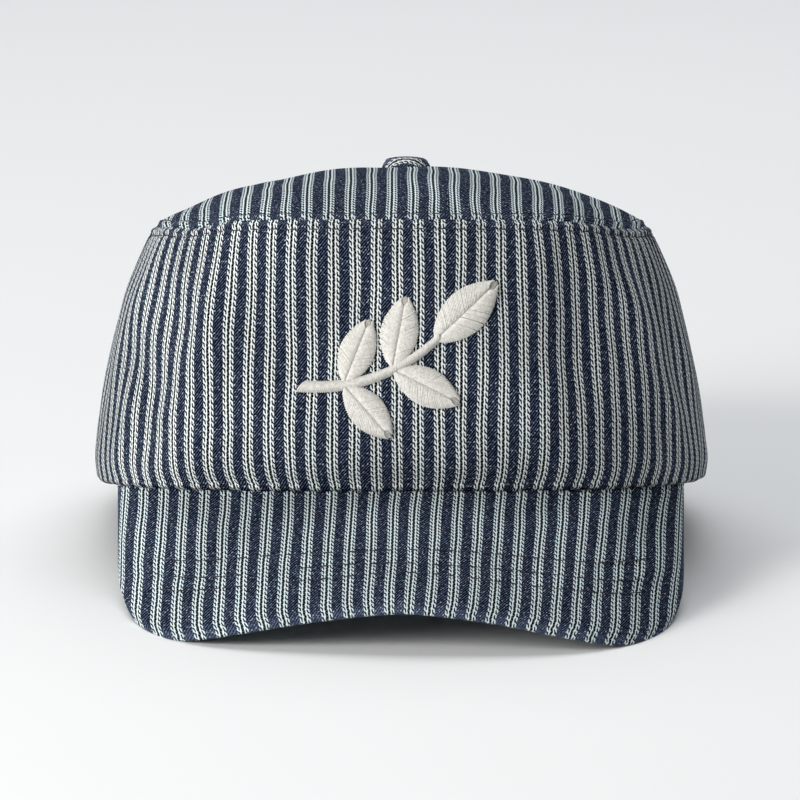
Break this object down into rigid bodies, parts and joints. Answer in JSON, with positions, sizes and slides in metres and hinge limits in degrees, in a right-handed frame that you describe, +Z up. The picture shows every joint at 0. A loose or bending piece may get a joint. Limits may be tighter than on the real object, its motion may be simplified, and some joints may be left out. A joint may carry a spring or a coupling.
{
  "type": "pillbox cap",
  "caption": "Flat-fronted pillbox cap in striped cotton with a low domed top, a short sloping peak, a covered button and a raised leaf sprig.",
  "frame": {"origin": "on the floor, under the middle of the cap's bounding box as it rests on its peak and its back edge", "axes": "+Z up from the floor, -Y towards the front of the peak, +X towards the wearer's left"},
  "size_m": [0.1816, 0.2514, 0.1129],
  "materials": {
    "striped_cloth": "heavy cotton, navy twill with off-white woven stripes",
    "band_cloth": "plain navy cotton",
    "embroidery": "cream thread, close stitched"
  },
  "bodies": {
    "root": {"crown_side": "striped_cloth", "top_panel": "striped_cloth", "peak": "striped_cloth", "top_button": "striped_cloth", "head_band": "band_cloth", "front_sprig": "embroidery"}
  },
  "joints": []
}
